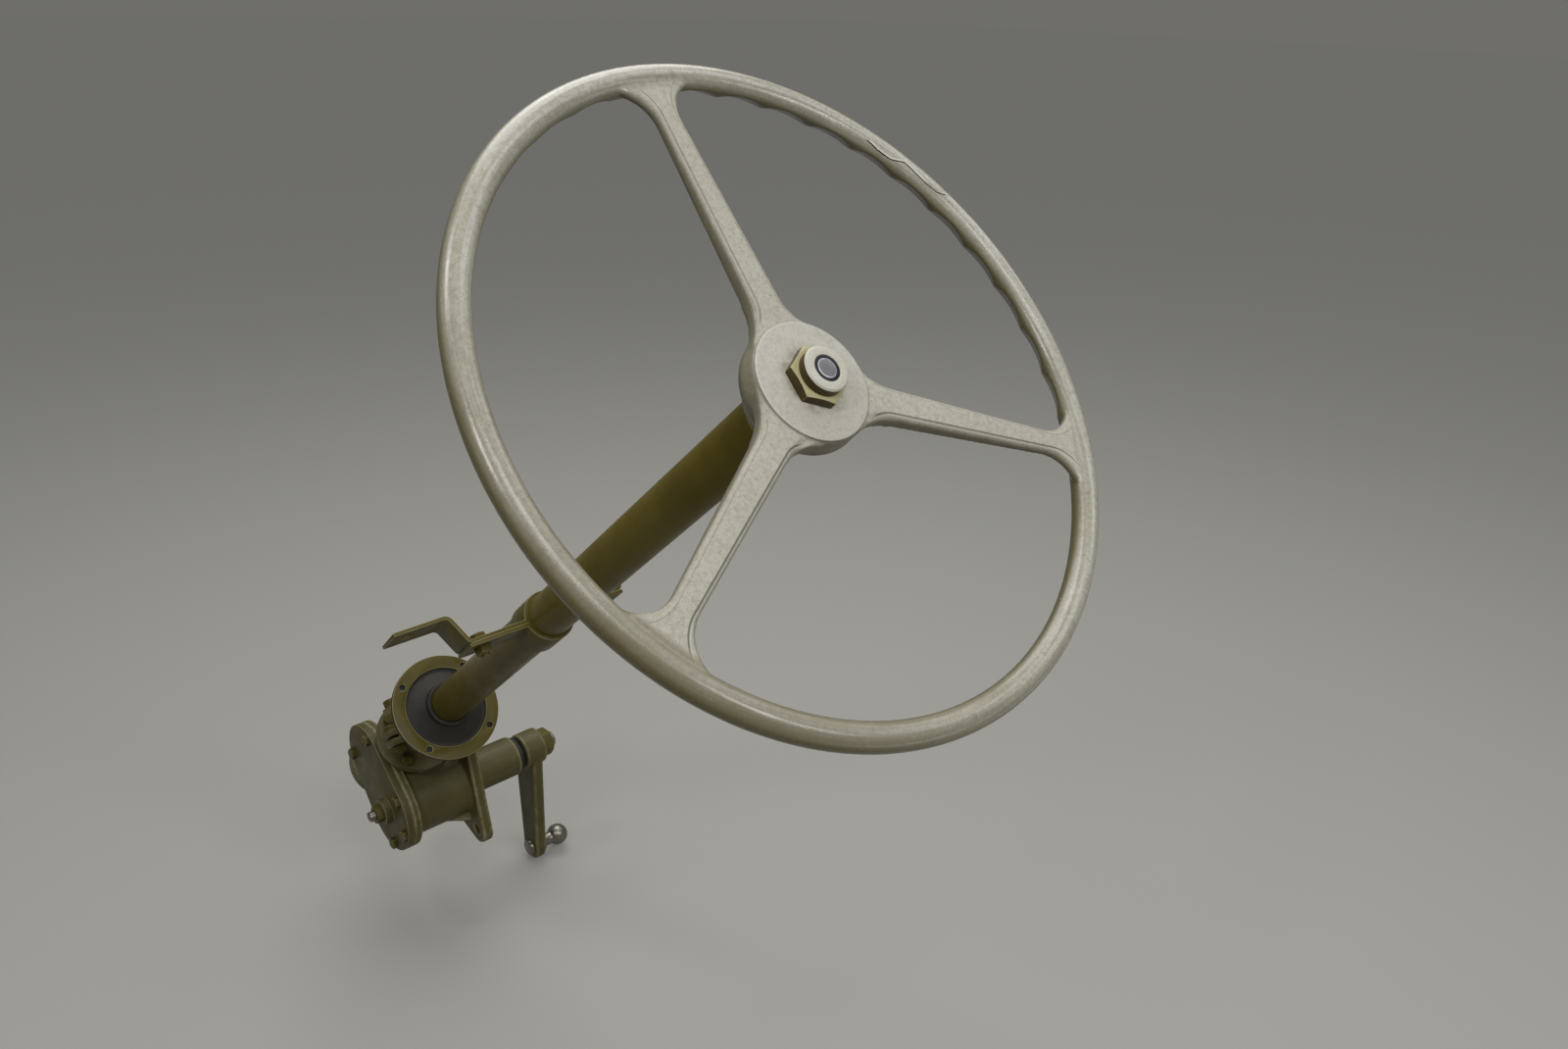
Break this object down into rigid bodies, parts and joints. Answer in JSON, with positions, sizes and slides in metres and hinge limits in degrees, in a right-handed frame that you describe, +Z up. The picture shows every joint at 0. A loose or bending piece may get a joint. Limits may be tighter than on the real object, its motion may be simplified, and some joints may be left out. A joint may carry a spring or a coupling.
{
  "type": "steering wheel with column and steering box",
  "caption": "Spoked steering wheel on a jacketed column with dash clamp, toe-board seal and cam-and-lever steering box with a hanging drop arm.",
  "frame": {"origin": "centre of the steering box's frame flange bolt circle, on the face against the left frame rail", "axes": "+X to the car's right, out of the flange face and along the lever shaft; +Y forward; +Z up"},
  "size_m": [0.438, 0.8523, 0.9357],
  "materials": {
    "wheel_moulding": "satin, worn",
    "worn_nut": "worn satin",
    "horn_bush": "satin",
    "horn_button": "polished by use",
    "bare_steel": "oiled",
    "column_paint": "satin",
    "bearing_metal": "dull",
    "clamp_paint": "satin, worn edges",
    "bolt_paint": "satin",
    "seal_rubber": "matt",
    "ring_paint": "satin",
    "cast_box": "painted casting",
    "cast_cover": "painted casting",
    "screw_steel": "dull",
    "forged_arm": "painted forging",
    "ball_steel": "bright, greased"
  },
  "bodies": {
    "housing": {"steering_box": "cast_box", "side_cover": "cast_cover", "side_cover_bolts": "bolt_paint", "adjusting_screw": "screw_steel", "lock_nut": "bolt_paint", "upper_cover": "cast_cover", "upper_cover_bolts": "bolt_paint", "socket_bolt": "bolt_paint", "end_cover": "cast_cover", "end_cover_bolts": "bolt_paint", "filler_plug": "bolt_paint", "shaft_seal": "seal_rubber", "column_jacket": "column_paint", "upper_bearing": "bearing_metal", "clamp_upper_strap": "clamp_paint", "clamp_lower_strap": "clamp_paint", "clamp_bolts": "bolt_paint", "toe_seal": "seal_rubber", "toe_ring": "ring_paint"},
    "wheel": {"steering_wheel": "wheel_moulding", "wheel_nut": "worn_nut", "horn_bush": "horn_bush", "horn_button": "horn_button", "steering_shaft": "bare_steel"},
    "lever": {"lever_shaft": "bare_steel", "pitman_arm": "forged_arm", "pitman_nut": "bolt_paint", "ball_stud": "ball_steel"}
  },
  "joints": [
    {"name": "wheel_turn", "type": "hinge", "parent": "housing", "child": "wheel", "pos_m": [-0.052, -0.5875, 0.61701], "axis": [0, -0.7373, 0.6756], "range_deg": [-480, 480]},
    {"name": "arm_swing", "type": "hinge", "parent": "housing", "child": "lever", "pos_m": [0, 0, 0], "axis": [1, 0, 0], "range_deg": [-36, 36]}
  ],
  "couplings": [
    {"joint": "arm_swing", "follows": "wheel_turn", "ratio": 0.074074}
  ]
}
